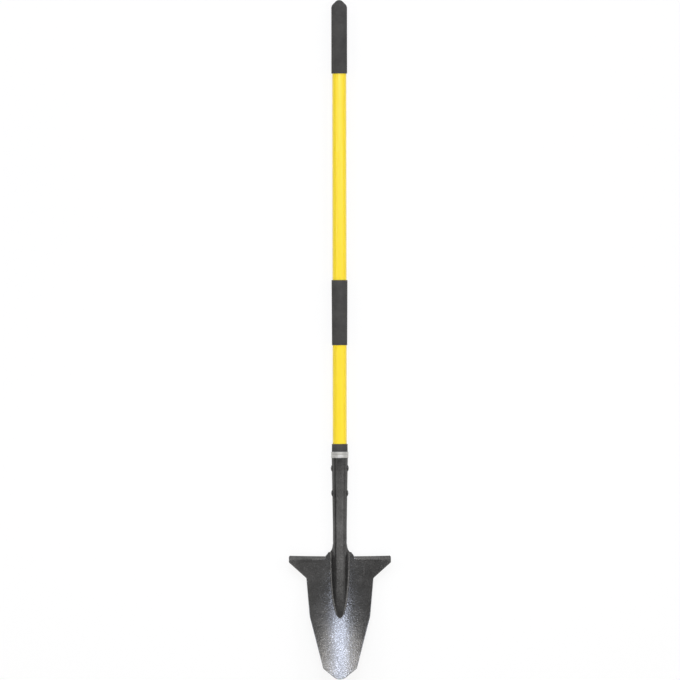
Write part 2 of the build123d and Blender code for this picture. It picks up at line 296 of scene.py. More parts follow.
@dataclass
class SpadeHead:
    """Blade, foot steps, frog and rolled socket, pressed from one steel sheet, and two rivets."""

    sheet: float = 2.0
    edge_round: float = 0.7
    edge_start: float = 3.0
    step_height: float = 275.8
    step_setback: float = 7.5
    step_tilt: float = math.radians(6.1)
    blade_curve: float = 1200.0
    dish_radius: float = 380.0
    half_step: float = 114.5
    wing_foot: float = 262.0
    wing_round: float = 4.0
    wing_nip: float = 3.0
    wing_top: float = 277.8
    shoulder: tuple[float, float] = (75.3, 226.6)
    shoulder_round: float = 5.0
    belly: tuple[float, float] = (67.9, 140.7)
    belly_round: float = 14.0
    half_point: float = 37.7
    point_round: float = 7.0
    tip_angle: float = math.radians(39.0)
    tip_radius: float = 22.7
    half_gap: float = 33.3
    step_depth: float = 14.3
    step_round: float = 5.0
    bend_radius: float = 4.0
    bend_spread: float = 5.0
    bend_slope: float = math.radians(27.0)
    tread_round: float = 1.8
    tread_tightening: float = 0.4
    ear_foot: tuple[float, float] = (33.0, 275.0)
    ear: tuple[float, float] = (25.5, 285.0)
    ear_rise: float = 9.2
    ear_rounds: tuple[float, float, float] = (1.6, 1.0, 1.0)
    flare_start: tuple[float, float] = (22.5, 285.2)
    flare_radius: float = 22.0
    flare_lip: float = 0.4
    flare_thinning: float = 0.75
    flare_thins_from: float = 5.0
    root_radius: float = 8.0
    least_dish: float = 1.0
    neck_radius: float = 15.6
    neck_top: float = 339.8
    mouth_height: float = 510.0
    mouth_radius: float = 18.475
    half_seam: float = 0.8
    seam_start: float = 375.0
    rows_level: tuple[float, float] = (-1.0, 16.0)
    ring_closes: tuple[float, float] = (-5.0, 12.0)
    rim_softness: float = 1.0
    straight_from: float = 105.0
    fold_reach: float = 40.0
    fold_near: float = 20.0
    row_spacing: float = 1.5
    row_turn: float = 8.0
    ear_spacing: float = 0.8
    flare_start_gap: float = 0.9
    flare_spacing: float = 1.2
    socket_rows: int = 70
    outline_points: int = 8001
    corner_steps: int = 40
    ear_line_points: int = 3001
    ear_round_steps: int = 10
    ear_points: int = 121
    flare_points: int = 60
    flare_skipped: int = 6
    frog_points: int = 40
    dish_points: int = 120
    hollow_points: int = 80
    back_points: int = 160
    rear_points: int = 601
    facet_rows: int = 6
    tread_rows: int = 3
    corner_rows: int = 8
    inner_columns: int = 36
    outer_columns: int = 36
    edge_steps: int = 8
    edge_power: float = 2.8
    notch_fade: float = 4.0
    rivet_heights: tuple[float, float] = (473.0, 417.3)
    rivet_radius: float = 3.2
    rivet_head_radius: float = 7.0
    rivet_head_height: float = 2.4
    rivet_head_edge: float = 0.3
    rivet_crown_inset: float = 0.35
    rivet_rim_round: float = 0.2
    rivet_bed: float = 0.05
    rivet_sides: int = 64
    rivet_crown_rings: int = 13
    rivet_rim_steps: int = 5

    def __post_init__(self) -> None:
        """Works out the sheet's turning axis, the fold of the steps and the frog's inside."""
        self.curve_y = self.step_setback - self.blade_curve * math.cos(self.step_tilt)
        self.curve_z = self.step_height + self.blade_curve * math.sin(self.step_tilt)
        self.fold_radius = self.bend_radius + self.sheet
        self.fold_tilt = self.step_tilt + self.fold_radius / self.blade_curve
        self.hollow_radius = self.neck_radius - self.sheet
        reach = self.neck_radius + self.flare_lip + self.flare_radius - self.flare_start[0]
        self.frog_top = self.flare_start[1] + math.sqrt(self.flare_radius**2 - reach**2)
        self.taper = (self.mouth_radius - self.neck_radius) / (self.mouth_height - self.neck_top)

    def fold_drop(self, x: np.ndarray) -> np.ndarray:
        """How much lower and wider the fold is than at the slit, growing evenly along the step."""
        along = (x - self.half_gap) / (self.half_step - self.half_gap)
        return self.bend_spread * np.clip(along, 0.0, 1.0)

    def sheet_radius(self, x: np.ndarray, rear: float = 0.0) -> np.ndarray:
        """Distance of a face of the sheet from the turning axis: curve - dish + sqrt(face^2 - x^2)."""
        return self.blade_curve - self.dish_radius + np.sqrt((self.dish_radius + rear) ** 2 - x**2)

    def tilt_at(self, x: np.ndarray, z: np.ndarray, rear: float = 0.0) -> np.ndarray:
        """Tilt of the sheet where its front or rear is at (x, z): asin((axis z - z) / radius at x)."""
        return np.arcsin((self.curve_z - z) / self.sheet_radius(x, rear))

    def sheet_y(self, x: np.ndarray, tilt: np.ndarray, rear: float = 0.0) -> np.ndarray:
        """Depth of the sheet across a row: axis y + (radius to the front or rear face) cos(tilt).

        Args:
            x: Places across the blade.
            tilt: Tilt of the row.
            rear: Thickness behind the front face.

        Returns:
            Values of y.
        """
        return self.curve_y + self.sheet_radius(x, rear) * np.cos(tilt)

    def socket_radius(self, z: np.ndarray) -> np.ndarray:
        """Outer radius of the neck, and of the tapered socket above it."""
        return self.neck_radius + self.taper * np.maximum(z - self.neck_top, 0.0)

    def side_outline(self) -> np.ndarray:
        """Right half of the blade's outline seen from the front, from the tip up to the fold.

        Straight lines with rounded corners, drawn in by the edge's round along their normals.

        Returns:
            Closely spaced points (x, z).
        """
        apex = self.tip_radius * (1.0 - 1.0 / math.cos(self.tip_angle))
        point_z = apex + self.half_point * math.tan(self.tip_angle)
        corners = np.array([
            (-self.half_point, point_z),
            (0.0, apex),
            (self.half_point, point_z),
            self.belly,
            self.shoulder,
            (self.half_step, self.wing_foot),
            (self.half_step, self.wing_top),
        ])
        rounds = np.array([
            self.tip_radius, self.point_round, self.belly_round, self.shoulder_round, self.wing_round,
        ])
        path = rounded_path(corners, rounds, self.corner_steps)
        dense = resample(path[None], np.linspace(0.0, 1.0, self.outline_points))[0]
        dense = dense - self.edge_round * outward(dense)
        dense = dense[dense[:, 0] >= 0.0]
        dense[0, 0] = 0.0
        fold_tilt = self.fold_tilt + self.fold_drop(dense[:, 0]) / self.blade_curve
        below = self.tilt_at(dense[:, 0], dense[:, 1]) > fold_tilt
        return dense[below]

    def ear_outline(self) -> np.ndarray:
        """Outline from the fold past the slit and the ear to the flare's end, as (x, z)."""
        foot = self.curve_z - self.sheet_radius(np.array(self.half_gap)) * math.sin(self.fold_tilt)
        center = np.array([self.neck_radius + self.flare_lip + self.flare_radius, self.frog_top])
        from_start = center - self.flare_start
        first = math.pi + math.atan2(from_start[1], from_start[0])
        # The rounded corner before the arc takes the place of its first points.
        angle = np.linspace(first, math.pi, self.flare_points)[self.flare_skipped:]
        arc = center + self.flare_radius * np.stack([np.cos(angle), np.sin(angle)], axis=1)
        line = np.array([(self.half_gap, foot), self.ear_foot, self.ear, self.flare_start])
        corners = np.vstack([line, arc[:1]])
        line = rounded_path(corners, np.array(self.ear_rounds), self.ear_round_steps)[:-1]
        shares = np.linspace(0.0, 1.0, self.ear_line_points)
        dense = resample(np.vstack([line, arc])[None], shares)[0]
        inset = self.edge_round * smooth_step(dense[:, 1], foot, foot + self.edge_start)
        thins_from = self.ear[1] + self.flare_thins_from
        inset *= 1.0 - self.flare_thinning * smooth_step(dense[:, 1], thins_from, self.frog_top)
        drawn_in = dense - inset[:, None] * outward(dense)
        drawn_in[:, 1] = np.maximum.accumulate(drawn_in[:, 1])
        return resample(drawn_in[None], np.linspace(0.0, 1.0, self.ear_points))[0]

    def front_profiles(self, tilt: np.ndarray, reach: np.ndarray) -> np.ndarray:
        """Half sections of the digging face: frog's arc, its wall, the round root and the dish.

        The root's center lies root radius in front of the dish and outside of the frog, where the
        circles of radius dish - root and neck + root cross, or beside the wall when that is behind
        the axis.  Above the point where the frog runs out the section is the dish alone.

        Args:
            tilt: Tilt of each row.
            reach: Half width of each row.

        Returns:
            x and y shaped (rows, points, 2), which may run past the reach.
        """
        root, neck, dish = self.root_radius, self.neck_radius, self.dish_radius
        middle = self.sheet_y(np.zeros_like(tilt), tilt)
        behind = middle - dish
        root_y = (behind**2 + (neck + root) ** 2 - (dish - root) ** 2) / (2 * behind)
        walled = root_y > 0.0
        beside = behind + math.sqrt((dish - root) ** 2 - (neck + root) ** 2)
        root_x = np.sqrt(np.maximum((neck + root) ** 2 - np.minimum(root_y, 0.0) ** 2, 0.0))
        root_y = np.where(walled, beside, root_y)
        has_frog = (root_y > -(neck + root))[:, None]
        t = np.linspace(0.0, 1.0, self.frog_points)
        leave = np.where(walled, math.pi / 2, np.arctan2(root_x, -root_y))[:, None]
        arc = np.stack([neck * np.sin(leave * t), -neck * np.cos(leave * t)], axis=-1)
        wall_y = np.maximum(root_y, 0.0)[:, None] * t
        wall_x = np.broadcast_to(arc[:, -1:, 0], wall_y.shape)
        wall = np.stack([wall_x, arc[:, -1:, 1] + wall_y], axis=-1)
        land = np.arctan2(root_x, root_y - behind)[:, None]
        angle = math.pi / 2 + leave - (leave + land) * t
        round_x = root_x[:, None] + root * np.cos(angle)
        round_y = root_y[:, None] + root * np.sin(angle)
        rounds = np.stack([round_x, round_y], axis=-1)
        landing = np.where(has_frog, round_x[:, -1:], 0.0)
        end = np.maximum(reach[:, None], landing + self.least_dish)
        x = landing + (end - landing) * np.linspace(0.0, 1.0, self.dish_points)
        dish_part = np.stack([x, self.sheet_y(x, tilt[:, None])], axis=-1)
        lead = np.concatenate([arc, wall, rounds], axis=1)
        start = np.broadcast_to(dish_part[:, :1], lead.shape)
        lead = np.where(has_frog[..., None], lead, start)
        return np.concatenate([lead, dish_part], axis=1)

    def rear_profiles(self, tilt: np.ndarray, reach: np.ndarray, limit: np.ndarray) -> np.ndarray:
        """Half sections of the rear: the frog's hollow, its wall and the back of the dish.

        The hollow's arc ends where it crosses the back of the dish, a circle of radius dish + sheet,
        or runs on as a straight wall.  Its rim is softened by a Gaussian mean along the section.

        Args:
            tilt: Tilt of each row.
            reach: Half width of each row.
            limit: Largest y of each row, where the rear is trimmed.

        Returns:
            x and y shaped (rows, points, 2).
        """
        hollow, back = self.hollow_radius, self.dish_radius + self.sheet
        behind = self.sheet_y(np.zeros_like(tilt), tilt) - self.dish_radius
        cross_y = (behind**2 + hollow**2 - back**2) / (2 * behind)
        has_hollow = (cross_y > -hollow)[:, None]
        t = np.linspace(0.0, 1.0, self.hollow_points)
        stop = np.arccos(np.clip(-cross_y / hollow, 0.0, 1.0))[:, None]
        arc = np.stack([hollow * np.sin(stop * t), -hollow * np.cos(stop * t)], axis=-1)
        rim_x = np.where(has_hollow, arc[:, -1:, 0], 0.0)
        x = rim_x + (reach[:, None] - rim_x) * np.linspace(0.0, 1.0, self.back_points)
        dish_y = np.minimum(self.sheet_y(x, tilt[:, None], self.sheet), limit[:, None])
        dish_part = np.stack([x, dish_y], axis=-1)
        lead = np.where(has_hollow[..., None], arc, dish_part[:, :1])
        paths = np.concatenate([lead, dish_part], axis=1)
        return self.soften(resample(paths, np.linspace(0.0, 1.0, self.rear_points)))

    def soften(self, paths: np.ndarray) -> np.ndarray:
        """Gaussian mean along evenly spaced half sections, mirrored at x = 0.

        Args:
            paths: x and y shaped (rows, points, 2).

        Returns:
            Softened points of the same shape, with both ends kept in place.
        """
        taps, sampled = 12, 40
        spacing = np.linalg.norm(np.diff(paths[:, :sampled], axis=1), axis=2).mean(axis=1)
        before = paths[:, taps:0:-1] * (-1.0, 1.0)
        after = 2.0 * paths[:, -1:] - paths[:, -2:-taps - 2:-1]
        wide = np.concatenate([before, paths, after], axis=1)
        offsets = np.arange(-taps, taps + 1)
        weights = np.exp(-0.5 * (offsets * spacing[:, None] / self.rim_softness) ** 2)
        weights /= weights.sum(axis=1)[:, None]
        size = paths.shape[1]
        shifts = offsets + taps
        windows = [wide[:, shift:shift + size] * weights[:, shift, None, None] for shift in shifts]
        return np.sum(windows, axis=0)

    def spread(self, profiles: np.ndarray, split: np.ndarray) -> np.ndarray:
        """Spreads a row's columns evenly on both sides of a splitting column.

        Args:
            profiles: Half sections shaped (rows, points, 2).
            split: Value of x at the splitting column of each row.

        Returns:
            Points shaped (rows, inner + outer columns + 1, 2).
        """
        share = self.share_at(profiles, split)
        inner = share * np.linspace(0.0, 1.0, self.inner_columns + 1)
        outer = share + (1.0 - share) * np.linspace(0.0, 1.0, self.outer_columns + 1)[1:]
        return resample(profiles, np.concatenate([inner, outer], axis=1))

    @staticmethod
    def share_at(profiles: np.ndarray, x: np.ndarray) -> np.ndarray:
        """Share of each half section's length at which it gets to x.

        Args:
            profiles: Half sections shaped (rows, points, 2).
            x: A value of x for each row.

        Returns:
            Shares shaped (rows, 1).
        """
        widths = np.maximum.accumulate(profiles[..., 0], axis=1)
        return look_up(x[:, None], widths, running_length(profiles), span=1000.0)

    def blade_rows(self) -> tuple[np.ndarray, np.ndarray]:
        """Front and rear points of the blade, from the tip's curve up to the fold of the steps.

        The lowest row is the outline below the two point corners.  Higher rows end on the outline
        and straighten: their tilt is the edge's tilt plus a fading share of the lowest row's.  The
        highest rows bend to follow the fold, whose start drops towards the wing's end.

        Returns:
            Two arrays shaped (rows, columns, 3).
        """
        outline = self.side_outline()
        corner = np.argmin(np.abs(outline[:, 0] - (self.half_point - self.edge_round)))
        low, side = outline[:corner + 1], outline[corner:]
        side = resample(side[None], even_shares(side, self.row_spacing, self.row_turn))[0]
        reach = side[:, 0]
        split = reach * self.half_gap / reach[-1]
        base = self.spread(low[None], split[:1])[0]
        share = base[:, 0] / base[-1, 0]
        fade = 1.0 - smooth_step(side[:, 1], side[0, 1], self.straight_from)[:, None]
        at_fold = smooth_step(side[:, 1], self.shoulder[1] - self.fold_reach, self.wing_foot)
        at_fold[-1] = 1.0
        no_limit = np.full_like(reach, np.inf)
        near_fold = smooth_step(side[:, 1], self.wing_foot - self.fold_near, side[-1, 1])
        end_drop = self.fold_drop(reach) / self.blade_curve
        rows = []
        for depth in (0.0, self.sheet):
            tilt = self.tilt_at(reach, side[:, 1], depth)
            front_tilt = self.tilt_at(reach, side[:, 1])
            front_tilt[-1] = self.fold_tilt + end_drop[-1]
            tilt = tilt + (front_tilt - tilt) * at_fold - end_drop * near_fold
            base_tilt = self.tilt_at(base[:, 0], base[:, 1], depth)
            tilts = tilt[:, None] + (base_tilt - base_tilt[-1]) * fade
            if depth:
                profile = self.spread(self.rear_profiles(tilt, reach, no_limit), split)
            else:
                profile = self.spread(self.front_profiles(tilt, reach), split)
            x = profile[..., 0] * (1.0 - fade) + reach[:, None] * share * fade
            tilts = tilts + self.fold_drop(x) / self.blade_curve * near_fold[:, None]
            plain = (fade > 0.0) | (self.fold_drop(x) > 0.0)
            y = np.where(plain, self.sheet_y(x, tilts, depth), profile[..., 1])
            z = self.curve_z - (y - self.curve_y) * np.tan(tilts)
            rows.append(np.stack([x, y, z], axis=-1))
        return rows[0], rows[1]

    def neck_rows(self) -> tuple[np.ndarray, np.ndarray]:
        """Outer and inner points above the fold: ears, flare, neck and socket with its rear seam.

        The ears' sections end on their outline.  They turn into open rings, arcs of the socket's
        outer and inner radius up to lips at x = half of the seam's width.  Each row lies in a plane
        that holds the x direction, z = height - y slope, and is level from the flare's end upwards.

        Returns:
            Two arrays shaped (rows, inner columns + 1, 3).
        """
        outline = self.ear_outline()
        ears = resample(outline[None], even_shares(outline, self.ear_spacing, self.row_turn))[0]
        top = self.mouth_height - self.edge_round
        flare_rows = np.arange(self.frog_top + self.flare_start_gap, self.neck_top, self.flare_spacing)
        socket_rows = np.linspace(self.neck_top, top, self.socket_rows)
        above = np.concatenate([flare_rows, socket_rows])
        edge = np.concatenate([ears[1:], np.stack([np.full_like(above, ears[-1, 0]), above], axis=1)])
        on_ear = np.minimum(edge[:, 1], self.frog_top)
        tilt = self.tilt_at(edge[:, 0], on_ear)
        past_ear = edge[:, 1] - self.frog_top
        lean = 1.0 - smooth_step(past_ear, *self.rows_level)
        slope = np.tan(tilt) * lean
        on_axis = self.curve_z + self.curve_y * np.tan(tilt)
        height = np.where(past_ear > 0.0, on_axis[len(ears) - 2] + past_ear, on_axis)
        height = height + (edge[:, 1] - height) * (1.0 - lean)
        lip = math.sqrt(self.neck_radius**2 - self.hollow_radius**2)
        ear_tilt = self.step_tilt - self.ear_rise / self.blade_curve
        foot_y = self.sheet_y(np.zeros(1), ear_tilt, self.sheet)[0]
        foot_z = self.curve_z - (foot_y - self.curve_y) * math.tan(ear_tilt)
        limit = foot_y + (lip - foot_y) * (on_ear - foot_z) / (self.frog_top - foot_z)
        columns = np.linspace(0.0, 1.0, self.inner_columns + 1)
        front = self.front_profiles(tilt, edge[:, 0])
        open_front = resample(front, columns * self.share_at(front, edge[:, 0]))
        open_rear = resample(self.rear_profiles(tilt, edge[:, 0], limit), columns)
        narrowing = past_ear / (self.seam_start - self.frog_top)
        gap = self.hollow_radius + (self.half_seam - self.hollow_radius) * np.clip(narrowing, 0.0, 1.0)
        ring = smooth_step(past_ear, *self.ring_closes)[:, None, None]
        rows = []
        for opened, depth in ((open_front, 0.0), (open_rear, self.sheet)):
            radius = self.socket_radius(edge[:, 1]) - depth
            lips = math.pi - np.arcsin(np.minimum(gap / radius, 1.0)) - self.edge_round / radius
            angle = lips[:, None] * columns
            arc = np.stack([np.sin(angle), -np.cos(angle)], axis=-1) * radius[:, None, None]
            section = opened * (1.0 - ring) + arc * ring
            z = height[:, None] - section[..., 1] * slope[:, None]
            rows.append(np.concatenate([section, z[..., None]], axis=-1))
        return rows[0], rows[1]

    def step_rows(self, x: np.ndarray, depth: float) -> np.ndarray:
        """Points of one face of the right foot step, from just above the fold to its rear edge.

        Behind the sheet's face by q and above the slit's end of the fold by h, the fold is a facet
        q = h tan(slope) + depth / cos(slope), which starts lower by the drop, and a quadratic Bezier
        curve that turns it into the tread.  The tread runs on at the same h and has rounded corners.
        At q the dish has y = sqrt((dish + q)^2 - x^2) - dish in the fold's plane.  The outline is
        drawn in by the edge's round.

        Args:
            x: Columns along the fold, from the slit to the wing's end.
            depth: Thickness behind the outer face.

        Returns:
            Points shaped (rows, columns, 3).
        """
        share = (x - x[0]) / (x[-1] - x[0])
        drop = self.fold_drop(x)
        rise = self.fold_radius + drop - depth
        crease_q = depth / math.cos(self.bend_slope) + rise * math.tan(self.bend_slope)
        crease_round = self.tread_round - self.tread_tightening * depth
        cut_back = crease_round * math.tan(math.pi / 4 - self.bend_slope / 2)
        leave_h = rise - cut_back * math.cos(self.bend_slope)
        leave_q = crease_q - cut_back * math.sin(self.bend_slope)
        corner = self.step_round - self.edge_round
        flat_end = self.step_depth - self.step_round
        t = np.linspace(0.0, 1.0, self.facet_rows + 1)[1:, None]
        turn = np.linspace(0.0, math.pi / 2, self.corner_rows + 1)[1:, None]
        land_q = crease_q + cut_back
        round_q = (1 - t) ** 2 * leave_q + 2 * t * (1 - t) * crease_q + t**2 * land_q
        flat_t = np.linspace(0.0, 1.0, self.tread_rows + 1)[1:, None]
        flat_q = land_q + (flat_end - land_q) * flat_t
        end_q = np.broadcast_to(flat_end + corner * np.sin(turn), (turn.size, x.size))
        q = np.concatenate([depth + (leave_q - depth) * t, round_q, flat_q, end_q])
        round_h = (1 - t) ** 2 * leave_h + (1 - (1 - t) ** 2) * rise
        level = np.broadcast_to(rise, (q.shape[0] - 2 * t.size, x.size))
        h = np.concatenate([leave_h * t, round_h, level]) - drop
        drawn_in = self.edge_round * smooth_step(h[:, 0], 0.0, self.edge_start)
        cut = np.zeros(q.shape[0])
        cut[-turn.size:] = corner * (1.0 - np.cos(turn[:, 0]))
        low_z = self.curve_z - self.sheet_radius(np.array(self.half_step)) * math.sin(self.fold_tilt)
        over = np.maximum(low_z + h[:, -1] + self.wing_round - self.wing_top, 0.0)
        nip = self.wing_round - np.sqrt(np.maximum(self.wing_round**2 - over**2, 0.0))
        first = self.half_gap + drawn_in + cut
        last = x[-1] - cut - np.minimum(nip, self.wing_nip)
        across = first[:, None] + (last - first)[:, None] * share
        back = np.sqrt((self.dish_radius + q) ** 2 - across**2) - self.dish_radius
        c, s = math.cos(self.fold_tilt), math.sin(self.fold_tilt)
        y = self.curve_y + (self.blade_curve + back) * c + h * s
        z = self.curve_z - (self.blade_curve + back) * s + h * c
        return np.stack([across, y, z], axis=-1)

    def edge_strip(self, front: np.ndarray, rear: np.ndarray, bulge: np.ndarray) -> np.ndarray:
        """Rounded edge between two faces: front + f (rear - front) + bulge b normal.

        The pair (f, b) runs along a superellipse, and the normal is square to the edge's run and to
        the way from front to rear.

        Args:
            front: Points of the edge on the front face, in order.
            rear: The same on the rear face.
            bulge: How far the edge stands out at each point.

        Returns:
            Points between the faces, shaped (points, edge steps - 1, 3).
        """
        angle = np.linspace(0.0, math.pi, self.edge_steps + 1)[1:-1]
        power = 2.0 / self.edge_power
        f = 0.5 - 0.5 * np.sign(np.cos(angle)) * np.abs(np.cos(angle)) ** power
        b = np.sin(angle) ** power
        along = np.gradient(front + rear, axis=0)
        normal = np.cross(rear - front, along)
        length = np.linalg.norm(normal, axis=1)[:, None]
        normal = normal / np.maximum(length, TINY) * bulge[:, None]
        normal[[0, -1], 0] = 0.0
        across = front[:, None] + (rear - front)[:, None] * f[:, None]
        return across + normal[:, None] * b[:, None]

    def build_head(self, row_frame: RowFrame) -> bpy.types.Object:
        """Joins the blade, the steps and the neck to one closed sheet, and mirrors it.

        Args:
            row_frame: Where the shaping frame lies.

        Returns:
            The head's object.
        """
        half = Shell()
        slit = self.inner_columns
        rims = []
        for blade, neck, depth in zip(self.blade_rows(), self.neck_rows(), (0.0, self.sheet)):
            fold = half.add_points(blade)
            up = half.add_points(neck)
            step = half.add_points(self.step_rows(blade[-1, slit:, 0], depth))
            above_fold = np.vstack([fold[-1:, :slit + 1], up])
            behind_fold = np.vstack([fold[-1:, slit:], step])
            for patch in (fold, above_fold, behind_fold):
                half.add_patch(patch, flip=depth > 0.0)
            rims.append(np.concatenate([
                fold[0], fold[1:, -1], step[:, -1], step[-1, -2::-1], step[-2::-1, 0],
                fold[-1, slit:slit + 1], up[:, -1], up[-1, -2::-1],
            ]))
        front, rear = rims
        points = np.concatenate(half.points)
        notch = front.size - (len(up) + slit) - 1
        away = np.abs(np.arange(front.size) - notch)
        bulge = self.edge_round * smooth_step(away, 0.0, self.notch_fade)
        strip = half.add_points(self.edge_strip(points[front], points[rear], bulge), mark=1.0)
        half.add_patch(np.column_stack([front, strip, rear]))
        half.mirror()
        return half.make_object("spade_head", row_frame)

    def build_rivet(self, name: str, height: float, row_frame: RowFrame) -> bpy.types.Object:
        """A rivet across the handle: a profile (reach along x, radius) turned about its own axis.

        The underside of each head beds on the socket, where x = sqrt(socket radius^2 - y^2).

        Args:
            name: Name of the piece.
            height: Height of the rivet's axis.
            row_frame: Where the shaping frame lies.

        Returns:
            The rivet's object.
        """
        dome = self.rivet_head_height - self.rivet_head_edge
        ball = (self.rivet_head_radius**2 + dome**2) / (2 * dome)
        socket = float(self.socket_radius(np.array(height)))
        crown_radius = self.rivet_head_radius - self.rivet_crown_inset
        polar = np.linspace(0.0, math.asin(crown_radius / ball), self.rivet_crown_rings + 1)[1:]
        crown_x = socket + self.rivet_head_height - ball * (1 - np.cos(polar))
        crown = np.stack([crown_x, ball * np.sin(polar)], axis=1)
        side_ends = [(socket + self.rivet_head_edge, self.rivet_head_radius),
                     (socket - self.rivet_rim_round, self.rivet_head_radius)]
        corners = np.vstack([crown[-1:], side_ends])
        rim = rounded_path(corners, np.array([self.rivet_rim_round]), self.rivet_rim_steps)[1:-1]
        profile = np.vstack([crown, rim])
        turn = np.linspace(0.0, 2 * math.pi, self.rivet_sides, endpoint=False)
        out = np.broadcast_to(profile[:, :1], (len(profile), turn.size))
        ring_y = profile[:, 1:] * np.cos(turn)
        ring_z = profile[:, 1:] * np.sin(turn)
        under_r = np.array([self.rivet_head_radius, self.rivet_radius])[:, None]
        under_y, under_z = under_r * np.cos(turn), under_r * np.sin(turn)
        bed = np.sqrt(self.socket_radius(height + under_z) ** 2 - under_y**2) + self.rivet_bed
        head = np.stack([
            np.vstack([out, bed, np.zeros((1, turn.size))]),
            np.vstack([ring_y, under_y, under_y[-1:]]),
            height + np.vstack([ring_z, under_z, under_z[-1:]]),
        ], axis=-1)
        half = Shell()
        pole = half.add_points(np.array([[socket + self.rivet_head_height, 0.0, height]]))
        rings = half.add_points(head)
        grid = np.vstack([np.full((1, turn.size), pole[0]), rings])
        half.add_patch(np.column_stack([grid, grid[:, :1]]), flip=True)
        half.mirror()
        return half.make_object(name, row_frame)

    def dress(self, row_frame: RowFrame, paint: "Finish") -> None:
        """Builds the head and its rivets and paints them together, as the works does.

        Args:
            row_frame: Where the shaping frame lies.
            paint: Finish of the head.
        """
        fit(self.build_head(row_frame), "blade_head", paint)
        for name, height in zip(("upper_rivet", "lower_rivet"), self.rivet_heights):
            fit(self.build_rivet(f"{name}_heads", height, row_frame), name, paint)


def fit(piece: bpy.types.Object, node: str, finish: "Finish") -> None:
    """Puts a finished piece in the place of its CAD node and reports it.

    Args:
        piece: The new piece.
        node: CAD node that it stands for.
        finish: Finish that it gets.
    """
    piece.data.materials.append(finish.material())
    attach(piece, "root")
    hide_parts(node)
    log.info("%s stands for %s, %d faces", piece.name, node, len(piece.data.polygons))


def turned(
    name: str, profile: np.ndarray, row_frame: RowFrame, closed: bool = True,
) -> bpy.types.Object:
    """Turns a profile about the handle's axis: x = r sin(a), y = -r cos(a), z = height.

    Args:
        name: Name of the piece.
        profile: Radii and heights, in order up the outside.  An open one starts and ends on the axis.
        row_frame: Where the shaping frame lies.
        closed: Whether the profile closes on itself.

    Returns:
        The turned object.
    """
    angle = np.linspace(0.0, 2 * math.pi, TURNED_SIDES, endpoint=False)
    radius, height = profile[:, :1], np.repeat(profile[:, 1:], angle.size, axis=1)
    rings = np.stack([radius * np.sin(angle), -radius * np.cos(angle), height], axis=-1)
    shell = Shell()
    if closed:
        grid = shell.add_points(rings)
        grid = np.vstack([grid, grid[:1]])
    else:
        poles = shell.add_points(rings[[0, -1], 0])
        middle = shell.add_points(rings[1:-1])
        ends = np.repeat(poles[:, None], angle.size, axis=1)
        grid = np.vstack([ends[:1], middle, ends[1:]])
    shell.add_patch(np.column_stack([grid, grid[:, :1]]))
    return shell.make_object(name, row_frame)


def ring_profile(corners: list[tuple[float, float]], rounds: list[float]) -> np.ndarray:
    """Closed profile with rounded corners, starting half-way along its last side.

    Args:
        corners: Radii and heights of the corners, in order up the outside.
        rounds: Radius at each corner.

    Returns:
        Radii and heights along the profile.
    """
    loop = np.array(corners)
    start = (loop[:1] + loop[-1:]) / 2
    path = np.vstack([start, loop, start])
    return rounded_path(path, np.array(rounds), TURNED_CORNER_STEPS)[:-1]


def sleeve_profile(
    bore: float, foot: tuple[float, float], top: tuple[float, float], rounds: list[float],
) -> np.ndarray:
    """Profile of a sleeve on a plain bore, whose outside runs straight from its foot to its top.

    Args:
        bore: Radius of the bore.
        foot: Radius and height of the outer corner at the foot.
        top: The same at the top.
        rounds: Radius at each corner, from the bore's foot round to its top.

    Returns:
        Radii and heights along the profile.
    """
    return ring_profile([(bore, foot[1]), foot, top, (bore, top[1])], rounds)


@dataclass
class SocketMouth:
    """Plated ring pressed on the socket's mouth, and the collar that seals it."""

    mouth_height: float = 510.0
    mouth_radius: float = 18.475
    taper: float = 0.016892
    clearance: float = 0.05
    ring_length: float = 13.9
    ring_wall: float = 0.9
    ring_round: float = 0.5
    groove_radius: float = 0.9
    groove_depth: float = 0.35
    groove_points: int = 9
    collar_length: float = 17.5
    collar_low: float = 17.825
    collar_high: float = 17.625
    collar_bore: float = 15.925
    collar_round: float = 0.6
    collar_rim: float = 0.3
    bore_round: float = 0.2

    def ring_outline(self) -> np.ndarray:
        """Profile of the ring, whose groove is an arc sunk by its depth half-way up."""
        outer, low = self.mouth_radius + self.ring_wall, self.mouth_height - self.ring_length
        foot = self.mouth_radius - self.taper * self.ring_length + self.clearance
        half = math.acos(1.0 - self.groove_depth / self.groove_radius)
        swing = np.linspace(-half, half, self.groove_points)
        center = outer + self.groove_radius - self.groove_depth
        groove = np.stack([
            center - self.groove_radius * np.cos(swing),
            low + self.ring_length / 2 + self.groove_radius * np.sin(swing),
        ], axis=1)
        corners = [(foot, low), (outer, low), (outer, self.mouth_height),
                   (self.mouth_radius + self.clearance, self.mouth_height)]
        rounds = [self.bore_round, self.ring_round, self.ring_round, self.bore_round]
        shape = ring_profile(corners, rounds)
        above = np.argmax((shape[:, 0] > outer - TOUCH) & (shape[:, 1] > low + self.ring_length / 2))
        return np.vstack([shape[:above], groove, shape[above:]])

    def dress(self, row_frame: RowFrame, plating: "Finish", rubber: "Finish") -> None:
        """Builds the ring and the collar.

        Args:
            row_frame: Where the shaping frame lies.
            plating: Finish of the ring.
            rubber: Finish of the collar.
        """
        ring = turned("plated_ring", self.ring_outline(), row_frame)
        fit(ring, "socket_ring", plating)
        foot = (self.collar_low, self.mouth_height)
        top = (self.collar_high, self.mouth_height + self.collar_length)
        rounds = [self.bore_round, self.collar_rim, self.collar_round, self.collar_rim]
        shape = sleeve_profile(self.collar_bore, foot, top, rounds)
        fit(turned("rubber_collar", shape, row_frame), "collar", rubber)


